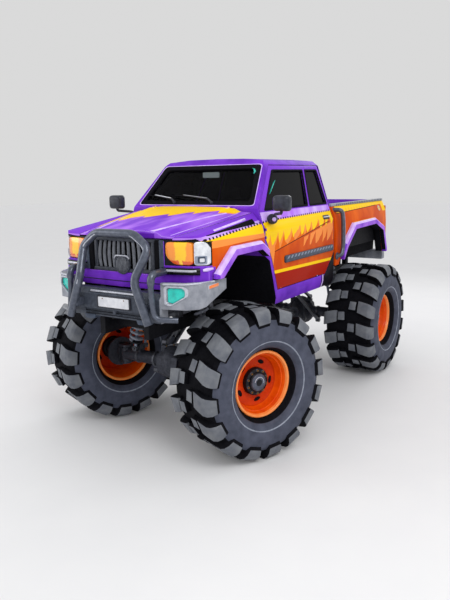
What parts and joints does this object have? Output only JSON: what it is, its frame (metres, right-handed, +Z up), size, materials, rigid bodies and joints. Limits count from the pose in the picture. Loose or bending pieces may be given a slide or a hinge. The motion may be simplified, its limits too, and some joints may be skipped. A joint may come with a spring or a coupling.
{
  "type": "monster truck",
  "caption": "Two-door pickup body on a ladder frame, carried high on solid axles by huge lugged tyres; wheels, steering, doors, hood and tailgate move.",
  "frame": {"origin": "On the ground, under the middle of the truck's bounding box", "axes": "X across, +X is the truck's left; Y along, forward is -Y; Z up"},
  "size_m": [3.4838, 5.9928, 3.268],
  "materials": {
    "body_purple": "gloss",
    "flame_orange": "gloss",
    "dark_metal": "satin",
    "grey_metal": "satin",
    "axle_grey": "satin",
    "dark_glass": "gloss",
    "grille_grey": "satin",
    "amber_lens": "gloss",
    "clear_lens": "gloss",
    "aqua_lens": "gloss",
    "red_lens": "gloss",
    "bumper_grey": "satin",
    "tube_grey": "satin",
    "rail_grey": "matte",
    "seat_fabric": "matte",
    "black_plastic": "matte",
    "tyre": "matte",
    "rim_orange": "gloss",
    "hub_black": "gloss"
  },
  "bodies": {
    "chassis": {"frame": "dark_metal", "engine": "grey_metal", "front_axle": "axle_grey", "rear_axle": "axle_grey", "shock_absorbers": "grey_metal", "coil_springs": "axle_grey", "drive_shafts": "grey_metal", "cab": "body_purple", "cab_glass": "dark_glass", "front_fenders": "body_purple", "front_panel": "body_purple", "wheel_arch_flares": "body_purple", "grille": "grille_grey", "headlamps": "amber_lens", "corner_lamps": "clear_lens", "front_bumper": "bumper_grey", "fog_lamps": "aqua_lens", "bull_bar": "tube_grey", "rear_bumper": "bumper_grey", "bed_sides": "flame_orange", "bed_rails": "rail_grey", "bed_tub": "dark_metal", "bed_hoops": "tube_grey", "tail_lamps": "red_lens", "seats": "seat_fabric", "dashboard": "black_plastic", "suspension_links": "grey_metal"},
    "hood_lid": {"hood": "body_purple"},
    "tailgate_panel": {"tailgate": "body_purple"},
    "track_rod": {"tie_rod": "grey_metal"},
    "steering_wheel_ring": {"steering_wheel": "black_plastic"},
    "door_assembly_left": {"door_left": "flame_orange", "door_glass_left": "dark_glass", "door_fittings_left": "black_plastic"},
    "steering_knuckle_left": {"knuckle_left": "axle_grey"},
    "wheel_front_left": {"tyre_front_left": "tyre", "rim_front_left": "rim_orange", "hub_front_left": "hub_black"},
    "wheel_rear_left": {"tyre_rear_left": "tyre", "rim_rear_left": "rim_orange", "hub_rear_left": "hub_black"},
    "door_assembly_right": {"door_right": "flame_orange", "door_glass_right": "dark_glass", "door_fittings_right": "black_plastic"},
    "steering_knuckle_right": {"knuckle_right": "axle_grey"},
    "wheel_front_right": {"tyre_front_right": "tyre", "rim_front_right": "rim_orange", "hub_front_right": "hub_black"},
    "wheel_rear_right": {"tyre_rear_right": "tyre", "rim_rear_right": "rim_orange", "hub_rear_right": "hub_black"}
  },
  "joints": [
    {"name": "steer_left", "type": "hinge", "parent": "chassis", "child": "steering_knuckle_left", "pos_m": [0.795, -1.8025, 0.838], "axis": [0, 0, 1], "range_deg": [-6, 50]},
    {"name": "spin_front_left", "type": "hinge", "parent": "steering_knuckle_left", "child": "wheel_front_left", "pos_m": [1.0917, -1.92237, 0.838], "axis": [0.9272, -0.3746, 0], "continuous": true},
    {"name": "spin_rear_left", "type": "hinge", "parent": "chassis", "child": "wheel_rear_left", "pos_m": [1.115, 1.6975, 0.838], "axis": [1, 0, 0], "continuous": true},
    {"name": "door_hinge_left", "type": "hinge", "parent": "chassis", "child": "door_assembly_left", "pos_m": [1.012, -1.3515, 2.38], "axis": [0, 0, -1], "range_deg": [0, 65]},
    {"name": "steer_right", "type": "hinge", "parent": "chassis", "child": "steering_knuckle_right", "pos_m": [-0.795, -1.8025, 0.838], "axis": [0, 0, 1], "range_deg": [-6, 50]},
    {"name": "spin_front_right", "type": "hinge", "parent": "steering_knuckle_right", "child": "wheel_front_right", "pos_m": [-1.0917, -1.68263, 0.838], "axis": [0.9272, -0.3746, 0], "continuous": true},
    {"name": "spin_rear_right", "type": "hinge", "parent": "chassis", "child": "wheel_rear_right", "pos_m": [-1.115, 1.6975, 0.838], "axis": [1, 0, 0], "continuous": true},
    {"name": "door_hinge_right", "type": "hinge", "parent": "chassis", "child": "door_assembly_right", "pos_m": [-1.012, -1.3515, 2.38], "axis": [0, 0, 1], "range_deg": [0, 65]},
    {"name": "track_rod_pivot", "type": "hinge", "parent": "steering_knuckle_left", "child": "track_rod", "pos_m": [0.89315, -1.55958, 0.694], "axis": [0, 0, 1], "range_deg": [-50, 6]},
    {"name": "steering_wheel_turn", "type": "hinge", "parent": "chassis", "child": "steering_wheel_ring", "pos_m": [0.4, -0.7275, 2.52], "axis": [0, 0.848, 0.5299], "range_deg": [-60, 500]},
    {"name": "hood_hinge", "type": "hinge", "parent": "chassis", "child": "hood_lid", "pos_m": [0, -1.3975, 2.692], "axis": [-1, 0, 0], "range_deg": [0, 55]},
    {"name": "tailgate_hinge", "type": "hinge", "parent": "chassis", "child": "tailgate_panel", "pos_m": [0, 2.8525, 2.01], "axis": [-1, 0, 0], "range_deg": [0, 90]}
  ],
  "couplings": [
    {"joint": "steer_right", "follows": "steer_left", "ratio": 1},
    {"joint": "track_rod_pivot", "follows": "steer_left", "ratio": -1},
    {"joint": "steering_wheel_turn", "follows": "steer_left", "ratio": 10}
  ]
}
